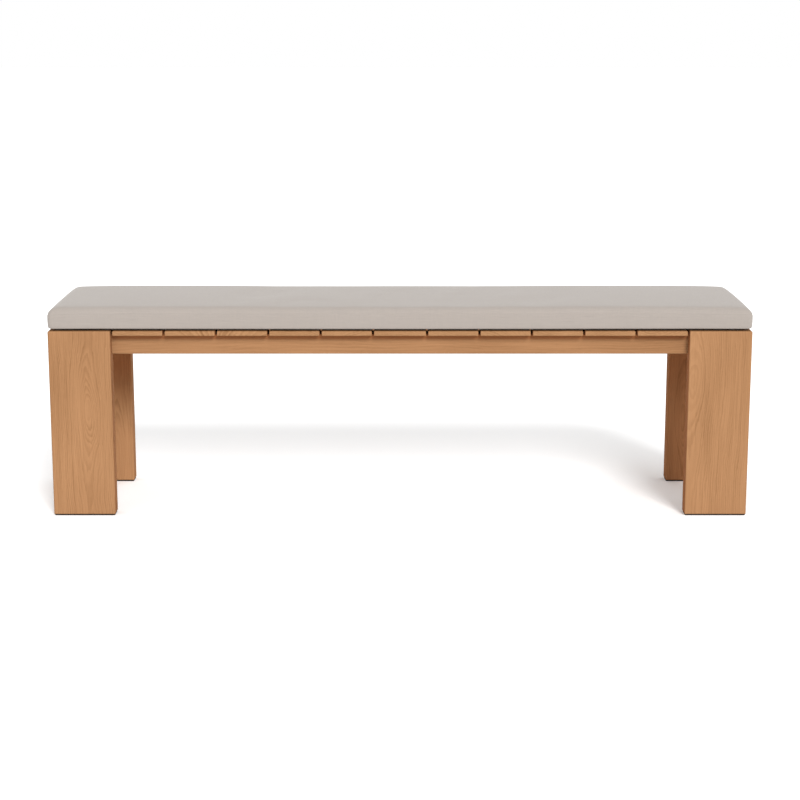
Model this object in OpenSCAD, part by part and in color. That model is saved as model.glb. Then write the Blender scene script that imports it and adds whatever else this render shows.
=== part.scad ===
// Backless garden bench: slatted hardwood deck on four plank legs, with a loose box cushion.
// Origin: on the ground, under the centre of the bench. X runs along the bench, the front faces -Y, Z is up.

/* [Bench] */
// Overall length of the bench
bench_l = 1600; // [1400:10:1800]
// Overall depth of the bench, front to back
bench_d = 360; // [340:5:420]
// Height of the wooden deck above the ground
deck_h = 431.5; // [400:0.5:460]
// Radius of the eased edges on legs and rails
edge_r = 3; // [1:0.5:4]

/* [Legs] */
// Width of a leg plank, along the bench
leg_w = 142; // [120:1:160]
// Thickness of a leg plank
leg_t = 40; // [34:1:50]
// Thickness of the pad under each leg
glide_t = 2.5; // [2:0.5:5]
// How far a pad is set in from the leg's faces
glide_inset = 1.5; // [1:0.5:6]

/* [Deck] */
// Thickness of the deck boards
slat_t = 10.5; // [10:0.5:20]
// Gap between neighbouring deck boards
slat_gap = 5; // [3:0.5:8]
// Width of the middle deck board
mid_slat_w = 118; // [100:1:130]
// Radius of the eased edges on deck boards
slat_r = 2; // [1:0.5:3]

/* [Frame] */
// Height of the aprons and rails
apron_h = 46; // [45:1:60]
// Thickness of the long aprons
apron_t = 28; // [24:1:34]
// Set-back of the aprons' outer faces from the legs' outer faces
apron_set = 25; // [22:1:34]
// Thickness of the end rails
end_rail_t = 30; // [28:1:36]
// Thickness of the cross rails
cross_rail_t = 36; // [30:1:44]
// Side of the square cleats that carry the deck
cleat_s = 20; // [18:1:22]

/* [Fasteners] */
// Nominal diameter of the leg bolts
bolt_d = 8; // [6:2:8]
// Height of the leg bolts below the top of the apron
bolt_drop = 30; // [29:0.5:32]
// Diameter of the wooden dowels
dowel_d = 8; // [6:1:8]
// Shank diameter of the deck screws
screw_d = 4; // [3.5:0.5:4.5]

/* [Cushion] */
// Thickness of the cushion
cushion_t = 53.5; // [46:0.5:70]
// Corner radius of the cushion seen from above
cushion_plan_r = 16; // [10:1:40]
// Radius along the cushion's top edge
cushion_top_r = 18; // [8:1:20]
// Radius along the cushion's bottom edge
cushion_low_r = 7; // [3:0.5:10]
// Thickness of the fabric case with its lining
cover_t = 2; // [1.5:0.5:3]
// Length of the zip in the back border
zip_l = 1200; // [900:10:1240]

/* [Hidden] */
$fn = 48;
eps = 0.01;
// Seat frame
deck_top = deck_h;
slat_low = deck_top - slat_t;
rail_top = slat_low;
rail_low = rail_top - apron_h;
rail_mid = (rail_top + rail_low) / 2;
leg_h = deck_top - glide_t;
leg_x = bench_l / 2 - leg_w / 2;
leg_y = bench_d / 2 - leg_t / 2;
frame_y = bench_d / 2 - leg_t;          // legs' inner faces
apron_face = bench_d / 2 - apron_set;   // aprons' outer faces, let into the legs
apron_y = apron_face - apron_t / 2;
apron_in = apron_face - apron_t;
apron_l = bench_l - 2 * end_rail_t;
slat_w = (bench_l / 2 - leg_w - mid_slat_w / 2 - 6 * slat_gap) / 5;
slat_pitch = slat_w + slat_gap;
cleat_y = apron_in - cleat_s / 2;
cleat_l = apron_l - 4;
cross_x = mid_slat_w / 2 + slat_gap + slat_pitch + slat_w / 2;
// Fasteners
bolt_z = rail_top - bolt_drop;
bolt_x = [bench_l / 2 - leg_w + 26, bench_l / 2 - leg_w + 81];
bolt_len = apron_t + 18;
washer_t = 1.6;
insert_d = 12;
insert_l = 15;
dowel_l = 40;
dowel_y = (apron_in + frame_y) / 2;     // dowels between aprons and end rails
dowel_z = [rail_low + 12, rail_low + 36];
cross_dowel_z = [rail_low + 8, rail_low + 20];
cross_dowel_in = 15;                     // depth of a cross-rail dowel in the apron
cross_dowel_l = 38;
slat_screw_l = cleat_s + slat_t - 3.5;
slat_screw_dx = 32;
cleat_screw_l = 38;
cleat_screw_x = [for (k = [1, 3, 5]) mid_slat_w / 2 + k * slat_pitch + slat_gap / 2];
glide_screw_dx = 45;
glide_screw_l = 32;
// Cushion
cush_low = deck_top + 0.3;
cush_top = cush_low + cushion_t;
zip_z = cush_low + 26.5;
zip_slot = 10;                           // height of the opening in the back border
zip_y = bench_d / 2 - 8;                 // plane of the zip's tapes
lip_t = 1.6;
teeth_t = 2;
teeth_gap = 1.2;
teeth_h = 2.4;
tape_t = 0.8;
tape_h = 12;
slider_x = -zip_l / 2 + 9;
pull_y = teeth_t / 2 + 3.2;              // the pull's pin, in front of the chain

teak = [0.745, 0.557, 0.396];
teak_dark = [0.68, 0.49, 0.33];
steel = [0.72, 0.73, 0.74];
brass = [0.78, 0.63, 0.34];
pad_black = [0.16, 0.14, 0.13];
fabric = [0.76, 0.73, 0.70];
foam = [0.93, 0.90, 0.82];
beech = [0.85, 0.72, 0.54];

// ---------- shapes that repeat ----------

// Rectangle with rounded corners, centred
module round_rect(a, b, r) {
    square([a - 2 * r, b], center = true);
    square([a, b - 2 * r], center = true);
    for (i = [-1, 1], j = [-1, 1])
        translate([i * (a / 2 - r), j * (b / 2 - r)]) circle(r = r);
}

// Board centred on the origin with all its edges eased: x by y by z
module board(x, y, z, r) {
    intersection() {
        linear_extrude(height = z, center = true) round_rect(x, y, r);
        rotate([90, 0, 0]) linear_extrude(height = y, center = true) round_rect(x, z, r);
        rotate([90, 0, 90]) linear_extrude(height = x, center = true) round_rect(y, z, r);
    }
}

// Straight hole from p along +X, +Y or +Z
module bore_x(p, d, l) { translate(p) rotate([0, 90, 0]) cylinder(d = d, h = l); }
module bore_y(p, d, l) { translate(p) rotate([-90, 0, 0]) cylinder(d = d, h = l); }
module bore_z(p, d, l) { translate(p) cylinder(d = d, h = l); }

// Countersunk wood screw: head's flat face at the origin, shank along +Z
module wood_screw(d, l) {
    difference() {
        union() {
            cylinder(d1 = 2 * d - 0.4, d2 = d, h = d * 0.55);
            cylinder(d = d, h = l - d);
            translate([0, 0, l - d]) cylinder(d1 = d, d2 = 0.6, h = d);
        }
        // cross recess
        for (a = [0, 90]) rotate([0, 0, a])
            translate([-d * 0.45, -d * 0.11, -1]) cube([d * 0.9, d * 0.22, 1 + d * 0.35]);
    }
}

// Room for a wood screw, with a recess for its head
module screw_room(d, l, sink = 0.6) {
    translate([0, 0, -1]) cylinder(d = 2 * d, h = 1 + sink);
    translate([0, 0, sink]) cylinder(d1 = 2 * d, d2 = d + 0.4, h = d * 0.55 + 0.1);
    cylinder(d = d + 0.2, h = l + sink + 0.5);
}

// ---------- legs and feet ----------

module leg(sx, sy) {
    color(teak)
    difference() {
        translate([sx * leg_x, sy * leg_y, glide_t + leg_h / 2]) board(leg_w, leg_t, leg_h, edge_r);
        // housing that the apron's end is let into
        translate([sx * (apron_l / 2 - leg_w / 2), sy * (apron_face - leg_t / 2), rail_mid])
            cube([leg_w, leg_t, apron_h], center = true);
        // blind holes for the threaded inserts, from the housing
        for (x = bolt_x)
            translate([sx * x, sy * (apron_face - 1), bolt_z]) rotate([-sy * 90, 0, 0]) cylinder(d = insert_d + 0.1, h = insert_l + 6);
        // pilot holes for the pad's screws
        for (i = [-1, 1])
            bore_z([sx * leg_x + i * glide_screw_dx, sy * leg_y, glide_t - 1], 3.7, glide_screw_l);
    }
}

module foot_glide(sx, sy) {
    color(pad_black)
    difference() {
        translate([sx * leg_x, sy * leg_y, glide_t / 2])
            linear_extrude(height = glide_t, center = true)
                round_rect(leg_w - 2 * glide_inset, leg_t - 2 * glide_inset, 3);
        for (i = [-1, 1])
            translate([sx * leg_x + i * glide_screw_dx, sy * leg_y, 0]) screw_room(3.5, glide_screw_l, 0.5);
    }
}

module glide_screws() {
    color(steel)
    for (sx = [-1, 1], sy = [-1, 1], i = [-1, 1])
        translate([sx * leg_x + i * glide_screw_dx, sy * leg_y, 0.5]) wood_screw(3.5, glide_screw_l - 2);
}

// ---------- frame ring ----------

module apron(sy) {
    color(teak_dark)
    difference() {
        translate([0, sy * apron_y, rail_mid]) board(apron_l, apron_t, apron_h, edge_r);
        // leg bolts
        for (sx = [-1, 1], x = bolt_x)
            bore_y([sx * x, sy * apron_y - apron_t, bolt_z], bolt_d + 1, 2 * apron_t);
        // dowels into the end rails
        for (sx = [-1, 1], z = dowel_z)
            translate([sx * (apron_l / 2 - dowel_l / 2), sy * dowel_y, z]) rotate([0, sx * 90, 0]) cylinder(d = dowel_d, h = dowel_l);
        // dowels of the cross rails, blind from the inner face
        for (sx = [-1, 1], z = cross_dowel_z)
            translate([sx * cross_x, sy * (apron_in - 1), z]) rotate([-sy * 90, 0, 0]) cylinder(d = dowel_d, h = cross_dowel_in + 1);
        // pilot holes for the cleat's screws
        for (sx = [-1, 1], x = cleat_screw_x)
            translate([sx * x, sy * (apron_in - 1), rail_top - cleat_s / 2]) rotate([-sy * 90, 0, 0])
                cylinder(d = screw_d + 0.2, h = cleat_screw_l - cleat_s + 2);
    }
}

module end_rail(sx) {
    color(teak)
    difference() {
        translate([sx * (bench_l / 2 - end_rail_t / 2), 0, rail_mid]) board(end_rail_t, 2 * frame_y, apron_h, edge_r);
        for (sy = [-1, 1], z = dowel_z)
            translate([sx * (apron_l / 2 - 1), sy * dowel_y, z]) rotate([0, sx * 90, 0]) cylinder(d = dowel_d, h = dowel_l / 2 + 1);
    }
}

module cross_rail(sx) {
    color(teak_dark)
    difference() {
        translate([sx * cross_x, 0, rail_mid]) board(cross_rail_t, 2 * apron_in, apron_h, 1.5);
        // notches that let the cleats run through
        for (sy = [-1, 1])
            translate([sx * cross_x, sy * apron_in, rail_top])
                cube([cross_rail_t + 2, 2 * cleat_s + 0.6, 2 * cleat_s + 0.6], center = true);
        for (sy = [-1, 1], z = cross_dowel_z)
            translate([sx * cross_x, sy * (apron_in + 1), z]) rotate([sy * 90, 0, 0]) cylinder(d = dowel_d, h = cross_dowel_l - cross_dowel_in + 1);
    }
}

module rail_dowels() {
    color(beech) {
        for (sx = [-1, 1], sy = [-1, 1], z = dowel_z)
            translate([sx * (apron_l / 2), sy * dowel_y, z]) rotate([0, 90, 0]) cylinder(d = dowel_d, h = dowel_l - 1, center = true);
        for (sx = [-1, 1], sy = [-1, 1], z = cross_dowel_z)
            translate([sx * cross_x, sy * (apron_in + cross_dowel_in - 0.5), z]) rotate([sy * 90, 0, 0]) cylinder(d = dowel_d, h = cross_dowel_l - 1);
    }
}

module slat_cleat(sy) {
    color(teak_dark)
    difference() {
        translate([0, sy * cleat_y, rail_top - cleat_s / 2]) board(cleat_l, cleat_s, cleat_s, 1);
        for (x = slat_screw_x)
            translate([x, sy * cleat_y, rail_top - cleat_s]) screw_room(screw_d, slat_screw_l);
        for (sx = [-1, 1], x = cleat_screw_x)
            translate([sx * x, sy * (cleat_y - cleat_s / 2), rail_top - cleat_s / 2]) rotate([-sy * 90, 0, 0]) screw_room(screw_d, cleat_screw_l);
    }
}

// ---------- deck ----------

// Number k counts the deck boards from the left, 1 to 11
function slat_x(k) = k == 6 ? 0 : sign(k - 6) * (mid_slat_w / 2 + slat_gap + slat_w / 2 + (abs(k - 6) - 1) * slat_pitch);
slat_screw_x = [for (k = [1:11], i = [-1, 1]) slat_x(k) + i * slat_screw_dx, for (s = [-1, 1], i = [-1, 1]) s * leg_x + i * slat_screw_dx];

module seat_slat(k) {
    x = slat_x(k);
    color(teak)
    difference() {
        translate([x, 0, deck_top - slat_t / 2]) board(k == 6 ? mid_slat_w : slat_w, bench_d, slat_t, slat_r);
        for (i = [-1, 1], sy = [-1, 1])
            bore_z([x + i * slat_screw_dx, sy * cleat_y, slat_low - 1], screw_d + 0.2, slat_screw_l - cleat_s + 2);
    }
}

module end_slat(sx) {
    color(teak)
    difference() {
        translate([sx * leg_x, 0, deck_top - slat_t / 2]) board(leg_w, 2 * frame_y - 5, slat_t, slat_r);
        for (i = [-1, 1], sy = [-1, 1])
            bore_z([sx * leg_x + i * slat_screw_dx, sy * cleat_y, slat_low - 1], screw_d + 0.2, slat_screw_l - cleat_s + 2);
    }
}

module slat_screws() {
    color(steel)
    for (x = slat_screw_x, sy = [-1, 1])
        translate([x, sy * cleat_y, rail_top - cleat_s + 0.6]) wood_screw(screw_d, slat_screw_l - 0.6);
}

module cleat_screws() {
    color(steel)
    for (sx = [-1, 1], sy = [-1, 1], x = cleat_screw_x)
        translate([sx * x, sy * (cleat_y - cleat_s / 2 + 0.6), rail_top - cleat_s / 2]) rotate([-sy * 90, 0, 0]) wood_screw(screw_d, cleat_screw_l - 0.6);
}

// ---------- leg bolts ----------

module at_leg_bolts() {
    for (sx = [-1, 1], sy = [-1, 1], x = bolt_x)
        translate([sx * x, sy * apron_in, bolt_z]) rotate([-sy * 90, 0, 0]) children();
}

// Button-head bolt with a hexagon socket, head towards the inside of the frame
module leg_bolts() {
    color(steel)
    at_leg_bolts()
        difference() {
            union() {
                translate([0, 0, -washer_t - 4.4]) cylinder(d1 = 9, d2 = 14, h = 2.2);
                translate([0, 0, -washer_t - 2.2]) cylinder(d = 14, h = 2.2);
                translate([0, 0, -washer_t]) cylinder(d = bolt_d, h = bolt_len + washer_t);
            }
            translate([0, 0, -washer_t - 5]) cylinder(d = 5.8, h = 3.2, $fn = 6);
        }
}

module leg_bolt_washers() {
    color(steel)
    at_leg_bolts()
        translate([0, 0, -washer_t])
            difference() {
                cylinder(d = 16, h = washer_t);
                translate([0, 0, -1]) cylinder(d = bolt_d + 0.4, h = washer_t + 2);
            }
}

module leg_inserts() {
    color(brass)
    at_leg_bolts()
        translate([0, 0, apron_t])
            difference() {
                cylinder(d = insert_d, h = insert_l);
                translate([0, 0, -1]) cylinder(d = bolt_d + 0.1, h = insert_l + 2);
            }
}

// ---------- cushion ----------

// Upright section of a cushion: width a, height b, radius rt at the top and rl at the bottom
module cushion_section(a, b, rt, rl) {
    translate([-a / 2 + rl, 0]) square([a - 2 * rl, b / 2]);
    translate([-a / 2, rl]) square([a, b / 2 - rl]);
    for (i = [-1, 1]) translate([i * (a / 2 - rl), rl]) circle(r = rl);
    translate([-a / 2 + rt, b / 2]) square([a - 2 * rt, b / 2]);
    translate([-a / 2, b / 2]) square([a, b / 2 - rt]);
    for (i = [-1, 1]) translate([i * (a / 2 - rt), b - rt]) circle(r = rt);
}

// Cushion block that is g smaller than the outside all round
module cushion_block(g) {
    x = bench_l - 2 * g;
    y = bench_d - 2 * g;
    h = cushion_t - 2 * g;
    translate([0, 0, cush_low + g])
    intersection() {
        linear_extrude(height = h) round_rect(x, y, cushion_plan_r - g);
        rotate([90, 0, 0]) linear_extrude(height = y + 2, center = true) cushion_section(x, h, cushion_top_r - g, cushion_low_r - g);
        rotate([90, 0, 90]) linear_extrude(height = x + 2, center = true) cushion_section(y, h, cushion_top_r - g, cushion_low_r - g);
    }
}

// Fabric case, open at the back where the zip is sewn between two folded edges
module cushion_cover() {
    color(fabric)
    difference() {
        union() {
            difference() {
                cushion_block(0);
                cushion_block(cover_t);
            }
            translate([-zip_l / 2 - 12 - lip_t, zip_y, zip_z - zip_slot / 2 - lip_t])
                cube([zip_l + 24 + 2 * lip_t, bench_d / 2 - cover_t / 2 - zip_y, zip_slot + 2 * lip_t]);
        }
        translate([-zip_l / 2 - 12, zip_y - 1, zip_z - zip_slot / 2]) cube([zip_l + 24, 20, zip_slot]);
    }
}

// Foam block, with a groove along the back for the zip
module cushion_core() {
    color(foam)
    difference() {
        cushion_block(cover_t + 0.4);
        translate([-zip_l / 2 - 20, zip_y - 6, zip_z - 15.5]) cube([zip_l + 40, 30, 31]);
    }
}

module zipper_tape(sz) {
    color(fabric)
    translate([-zip_l / 2 - 12, zip_y - tape_t, zip_z + (sz > 0 ? teeth_gap / 2 + teeth_h : -teeth_gap / 2 - teeth_h - tape_h)])
        cube([zip_l + 24, tape_t, tape_h]);
}

// Chain of one side of the zip, with a stop at each end
module zipper_teeth(sz) {
    color(fabric)
    translate([-zip_l / 2, zip_y - tape_t / 2 - teeth_t / 2, zip_z + (sz > 0 ? teeth_gap / 2 : -teeth_gap / 2 - teeth_h)])
        cube([zip_l, teeth_t, teeth_h]);
}

// Slider: two plates joined by the wedge that runs between the two chains, and a bridge that holds the pull
module zip_slider() {
    y0 = zip_y - tape_t / 2;
    color(steel)
    translate([slider_x, y0, zip_z]) {
        // plates in front of and behind the chain
        for (s = [-1, 1])
            translate([-6, s > 0 ? teeth_t / 2 + 0.35 : -teeth_t / 2 - 1.35, -4.2]) cube([12, 1, 8.4]);
        // wedge
        translate([-5.5, -teeth_t / 2 - 1, -0.3]) cube([4, teeth_t + 2, 0.6]);
        // bridge: two posts and the pin that the pull swings on
        for (s = [-1, 1])
            translate([-1.2, teeth_t / 2 + 1, s > 0 ? 2.4 : -3.4]) cube([2.4, pull_y - teeth_t / 2, 1]);
        translate([0, pull_y, -2.9]) cylinder(d = 1.2, h = 5.8);
    }
}

// Pull tab, lying along the zip
module zip_pull() {
    color(steel)
    translate([slider_x, zip_y - tape_t / 2 + pull_y, zip_z])
        difference() {
            union() {
                translate([0, 0, -2]) cylinder(d = 3, h = 4);
                translate([0, -0.6, -2]) cube([20, 1.2, 4]);
            }
            translate([0, 0, -3]) cylinder(d = 1.4, h = 6);
            translate([16.5, -2, 0]) rotate([-90, 0, 0]) cylinder(d = 2, h = 4);
        }
}

leg(-1, -1);  // leg_front_left
leg(1, -1);  // leg_front_right
leg(-1, 1);  // leg_back_left
leg(1, 1);  // leg_back_right
foot_glide(-1, -1);  // foot_glide_front_left
foot_glide(1, -1);  // foot_glide_front_right
foot_glide(-1, 1);  // foot_glide_back_left
foot_glide(1, 1);  // foot_glide_back_right
apron(-1);  // apron_front
apron(1);  // apron_back
end_rail(-1);  // end_rail_left
end_rail(1);  // end_rail_right
cross_rail(-1);  // cross_rail_left
cross_rail(1);  // cross_rail_right
slat_cleat(-1);  // slat_cleat_front
slat_cleat(1);  // slat_cleat_back
seat_slat(1);  // seat_slat_01
seat_slat(2);  // seat_slat_02
seat_slat(3);  // seat_slat_03
seat_slat(4);  // seat_slat_04
seat_slat(5);  // seat_slat_05
seat_slat(6);  // seat_slat_06
seat_slat(7);  // seat_slat_07
seat_slat(8);  // seat_slat_08
seat_slat(9);  // seat_slat_09
seat_slat(10);  // seat_slat_10
seat_slat(11);  // seat_slat_11
end_slat(-1);  // end_slat_left
end_slat(1);  // end_slat_right
leg_bolts();
leg_bolt_washers();
leg_inserts();
slat_screws();
cleat_screws();
glide_screws();
rail_dowels();
cushion_cover();
cushion_core();
zipper_tape(1);  // zipper_tape_upper
zipper_tape(-1);  // zipper_tape_lower
zipper_teeth(1);  // zipper_teeth_upper
zipper_teeth(-1);  // zipper_teeth_lower
zip_slider();
zip_pull();
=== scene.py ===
"""Garden bench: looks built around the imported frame. Units are metres, +Z up, the front faces -Y."""
import math

import bmesh
import bpy
import numpy as np
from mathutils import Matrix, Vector
from mathutils.bvhtree import BVHTree


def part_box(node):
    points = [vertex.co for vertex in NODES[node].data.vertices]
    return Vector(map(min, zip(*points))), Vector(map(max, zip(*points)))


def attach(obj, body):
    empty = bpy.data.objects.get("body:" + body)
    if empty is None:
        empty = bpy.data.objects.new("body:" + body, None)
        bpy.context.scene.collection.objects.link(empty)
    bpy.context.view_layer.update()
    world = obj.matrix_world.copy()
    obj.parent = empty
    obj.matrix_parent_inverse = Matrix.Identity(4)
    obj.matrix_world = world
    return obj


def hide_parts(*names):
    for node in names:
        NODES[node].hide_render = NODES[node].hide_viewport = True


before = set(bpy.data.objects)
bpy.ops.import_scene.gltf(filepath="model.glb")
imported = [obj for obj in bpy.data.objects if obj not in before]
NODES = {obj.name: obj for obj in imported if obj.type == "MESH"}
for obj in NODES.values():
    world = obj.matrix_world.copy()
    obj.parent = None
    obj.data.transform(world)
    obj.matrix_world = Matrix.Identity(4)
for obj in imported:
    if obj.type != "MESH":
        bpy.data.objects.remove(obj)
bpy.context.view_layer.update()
scene = bpy.context.scene

# ------------------------------------------------------------------ camera
cam_data = bpy.data.cameras.new("camera")
cam = bpy.data.objects.new("camera", cam_data)
scene.collection.objects.link(cam)
cam_data.sensor_width = 36.0
cam_data.lens = 85.35
cam.location = (0.0, -4.4202, 1.1622)
cam.rotation_euler = (math.radians(78.153), 0.0, 0.0)
cam_data.clip_start = 0.1
cam_data.clip_end = 60.0
scene.camera = cam
scene.view_settings.view_transform = "Standard"
scene.view_settings.look = "None"
scene.view_settings.exposure = 0.0
scene.view_settings.gamma = 1.0


# ------------------------------------------------------------------ shader building
class Graph:
    """Short calls that add shader nodes to one node tree. A value is a number, a tuple or another node's socket."""

    def __init__(self, tree):
        self.tree = tree

    def node(self, kind, **props):
        n = self.tree.nodes.new(kind)
        for k, v in props.items():
            setattr(n, k, v)
        return n

    def feed(self, socket, value):
        if isinstance(value, bpy.types.NodeSocket):
            self.tree.links.new(value, socket)
        elif isinstance(value, (tuple, list)) and len(value) == 3 and socket.type == "RGBA":
            socket.default_value = (*value, 1.0)
        else:
            socket.default_value = value

    def math(self, op, a, b=None, c=None, clamp=False):
        n = self.node("ShaderNodeMath", operation=op, use_clamp=clamp)
        for s, v in zip(n.inputs, (a, b, c)):
            if v is not None:
                self.feed(s, v)
        return n.outputs[0]

    def vmath(self, op, a, b=None):
        n = self.node("ShaderNodeVectorMath", operation=op)
        self.feed(n.inputs[0], a)
        if b is not None:
            self.feed(n.inputs[1], b)
        return n.outputs["Value"] if op in ("DOT_PRODUCT", "LENGTH", "DISTANCE") else n.outputs["Vector"]

    def split(self, v):
        n = self.node("ShaderNodeSeparateXYZ")
        self.feed(n.inputs[0], v)
        return n.outputs[0], n.outputs[1], n.outputs[2]

    def join(self, x, y, z):
        n = self.node("ShaderNodeCombineXYZ")
        for s, v in zip(n.inputs, (x, y, z)):
            self.feed(s, v)
        return n.outputs[0]

    def noise(self, at, stretch=(1, 1, 1), seed=0.0, detail=2.0, rough=0.5, scale=1.0):
        """3D noise about 0.5. stretch multiplies the coordinates, and seed moves them to another place."""
        p = self.vmath("MULTIPLY", at, stretch)
        n = self.node("ShaderNodeTexNoise", noise_dimensions="4D")
        self.feed(n.inputs["Vector"], p)
        self.feed(n.inputs["W"], seed)
        n.inputs["Scale"].default_value = scale
        n.inputs["Detail"].default_value = detail
        n.inputs["Roughness"].default_value = rough
        return n.outputs["Fac"]

    def span(self, x, a, b, c=0.0, d=1.0, kind="SMOOTHSTEP"):
        """x from a..b to c..d, held at the ends."""
        n = self.node("ShaderNodeMapRange", interpolation_type=kind, clamp=True)
        for s, v in zip(n.inputs, (x, a, b, c, d)):
            self.feed(s, v)
        return n.outputs[0]

    def blend(self, fac, a, b, kind="MIX"):
        n = self.node("ShaderNodeMix", data_type="RGBA", blend_type=kind, clamp_factor=True)
        self.feed(n.inputs[0], fac)
        self.feed(n.inputs[6], a)
        self.feed(n.inputs[7], b)
        return n.outputs[2]

    def tint(self, col, by):
        """A colour times a number."""
        n = self.node("ShaderNodeMix", data_type="RGBA", blend_type="MULTIPLY")
        n.inputs[0].default_value = 1.0
        self.feed(n.inputs[6], col)
        self.feed(n.inputs[7], self.join(by, by, by))
        return n.outputs[2]

    def bump(self, height, strength, distance, normal=None):
        n = self.node("ShaderNodeBump")
        n.inputs["Strength"].default_value = strength
        n.inputs["Distance"].default_value = distance
        self.feed(n.inputs["Height"], height)
        if normal is not None:
            self.feed(n.inputs["Normal"], normal)
        return n.outputs[0]


def material(name):
    m = bpy.data.materials.new(name)
    m.use_nodes = True
    t = m.node_tree
    t.nodes.clear()
    g = Graph(t)
    out = g.node("ShaderNodeOutputMaterial")
    b = g.node("ShaderNodeBsdfPrincipled")
    t.links.new(b.outputs[0], out.inputs[0])
    return m, g, b


def wood_group():
    """Sawn wood for one board. Its coordinates are the board's own, in millimetres: X across the face, Y through it, Z
    along the grain.
    Growth rings are shells about a pith line that comes closest to the face at one height, which is what draws the
    nested arches of a plain-sawn board.
    Painted shade: a deeper, redder colour is put where the bench's own shade falls, over the whole board (Deep), near
    its -X and +X faces (Left, Right), near its +Z end (Top) or its +Y face (Up). Face 1 keeps the whole-board and top
    shares to the -Y face."""
    t = bpy.data.node_groups.new("sawn_wood", "ShaderNodeTree")
    face = t.interface

    def number(name, value):
        s = face.new_socket(name, in_out="INPUT", socket_type="NodeSocketFloat")
        s.default_value = value

    face.new_socket("Board", in_out="INPUT", socket_type="NodeSocketVector")
    face.new_socket("Half", in_out="INPUT", socket_type="NodeSocketVector")
    for name, value in (("Pith X", 0), ("Pith Y", 0), ("Lean", 0), ("Nearest", 0), ("Rise", 0.34), ("Reach", 110), ("Side", 1), ("Ring", 4), ("Seed", 0), ("Tone", 1), ("Figure", 1),
                        ("Deep", 0), ("Deep Left", 0), ("Deep Right", 0), ("Deep Reach", 0.6), ("Deep Top", 0), ("Top Reach", 200), ("Deep Up", 0), ("Deep Face", 0)):
        number(name, value)
    face.new_socket("Color", in_out="OUTPUT", socket_type="NodeSocketColor")
    face.new_socket("Roughness", in_out="OUTPUT", socket_type="NodeSocketFloat")
    face.new_socket("Height", in_out="OUTPUT", socket_type="NodeSocketFloat")
    g = Graph(t)
    i = g.node("NodeGroupInput").outputs
    o = g.node("NodeGroupOutput").inputs
    P, seed = i["Board"], i["Seed"]
    x, y, z = g.split(P)
    # the pith line: sideways lean and slow wander, and depth that grows away from its nearest height
    dz = g.math("SUBTRACT", z, i["Nearest"])
    wander = g.math("MULTIPLY", g.math("SUBTRACT", g.noise(g.join(0.0, 0.0, z), (1, 1, 0.006), seed, 1.0), 0.5), 22.0)
    px = g.math("ADD", g.math("ADD", i["Pith X"], g.math("MULTIPLY", i["Lean"], dz)), wander)
    far = g.math("DIVIDE", dz, i["Reach"])
    s = g.math("DIVIDE", g.math("MULTIPLY", dz, i["Rise"]), g.math("SQRT", g.math("ADD", 1.0, g.math("MULTIPLY", far, far))))
    deep = g.math("SQRT", g.math("ADD", 36.0, g.math("MULTIPLY", s, s)))
    py = g.math("ADD", i["Pith Y"], g.math("MULTIPLY", i["Side"], deep))
    # slow and fine warps of the shells
    w1 = g.math("MULTIPLY", g.math("SUBTRACT", g.noise(P, (0.026, 0.026, 0.007), seed, 2.0), 0.5), 15.0)
    w2 = g.math("MULTIPLY", g.math("SUBTRACT", g.noise(P, (0.12, 0.12, 0.022), g.math("ADD", seed, 3.7), 2.0), 0.5), 4.2)
    w3 = g.math("MULTIPLY", g.math("SUBTRACT", g.noise(P, (0.5, 0.5, 0.05), g.math("ADD", seed, 9.1), 2.0), 0.5), 1.9)
    dx = g.math("SUBTRACT", x, px)
    dy = g.math("SUBTRACT", y, py)
    r = g.math("SQRT", g.math("ADD", g.math("MULTIPLY", dx, dx), g.math("MULTIPLY", dy, dy)))
    r = g.math("ADD", r, g.math("ADD", w1, g.math("ADD", w2, w3)))
    # uneven ring widths, then each ring: pale early wood that darkens slowly and ends sharply
    uneven = g.noise(g.join(r, 0.0, 0.0), (0.075, 1, 1), g.math("ADD", seed, 21.0), 2.0)
    phase = g.math("ADD", g.math("DIVIDE", r, i["Ring"]), g.math("MULTIPLY", uneven, 2.2))
    part = g.math("FRACT", phase)
    ring = g.math("FLOOR", phase)
    late = g.math("MULTIPLY", g.span(part, 0.15, 0.86), g.span(part, 1.0, 0.90))
    strong = g.noise(g.join(ring, 0.0, 0.0), (0.73, 1, 1), g.math("ADD", seed, 5.0), 0.0)
    late = g.math("MULTIPLY", late, g.span(strong, 0.3, 0.7, 0.35, 1.0))
    fade = g.span(g.noise(P, (0.02, 0.02, 0.005), g.math("ADD", seed, 31.0), 1.0), 0.3, 0.65, 0.45, 1.0)
    late = g.math("MULTIPLY", late, fade)
    # fibres at three widths, and open pores
    f1 = g.noise(P, (0.22, 0.22, 0.007), g.math("ADD", seed, 11.0), 3.0, 0.6)
    f2 = g.noise(P, (0.75, 0.75, 0.018), g.math("ADD", seed, 12.0), 3.0, 0.6)
    f3 = g.noise(P, (2.6, 2.6, 0.07), g.math("ADD", seed, 13.0), 2.0, 0.6)
    tone = g.noise(P, (0.014, 0.014, 0.003), g.math("ADD", seed, 14.0), 1.0)
    pore = g.noise(P, (2.9, 2.9, 0.16), g.math("ADD", seed, 15.0), 1.0)
    pore = g.span(g.math("ADD", pore, g.math("MULTIPLY", late, 0.05)), 0.64, 0.72)
    # one number for how dark the wood is: 0 pale, 1 dark
    dark = g.math("MULTIPLY", g.math("MULTIPLY", late, i["Figure"]), 0.54)
    for n, k in ((f1, 0.68), (f2, 0.37), (f3, 0.17), (tone, 0.70)):
        dark = g.math("ADD", dark, g.math("MULTIPLY", g.math("SUBTRACT", n, 0.5), k))
    dark = g.math("ADD", dark, g.math("MULTIPLY", pore, 0.22))
    dark = g.math("ADD", dark, 0.27, clamp=True)
    col = g.blend(dark, WOOD_PALE, WOOD_DARK)
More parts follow.
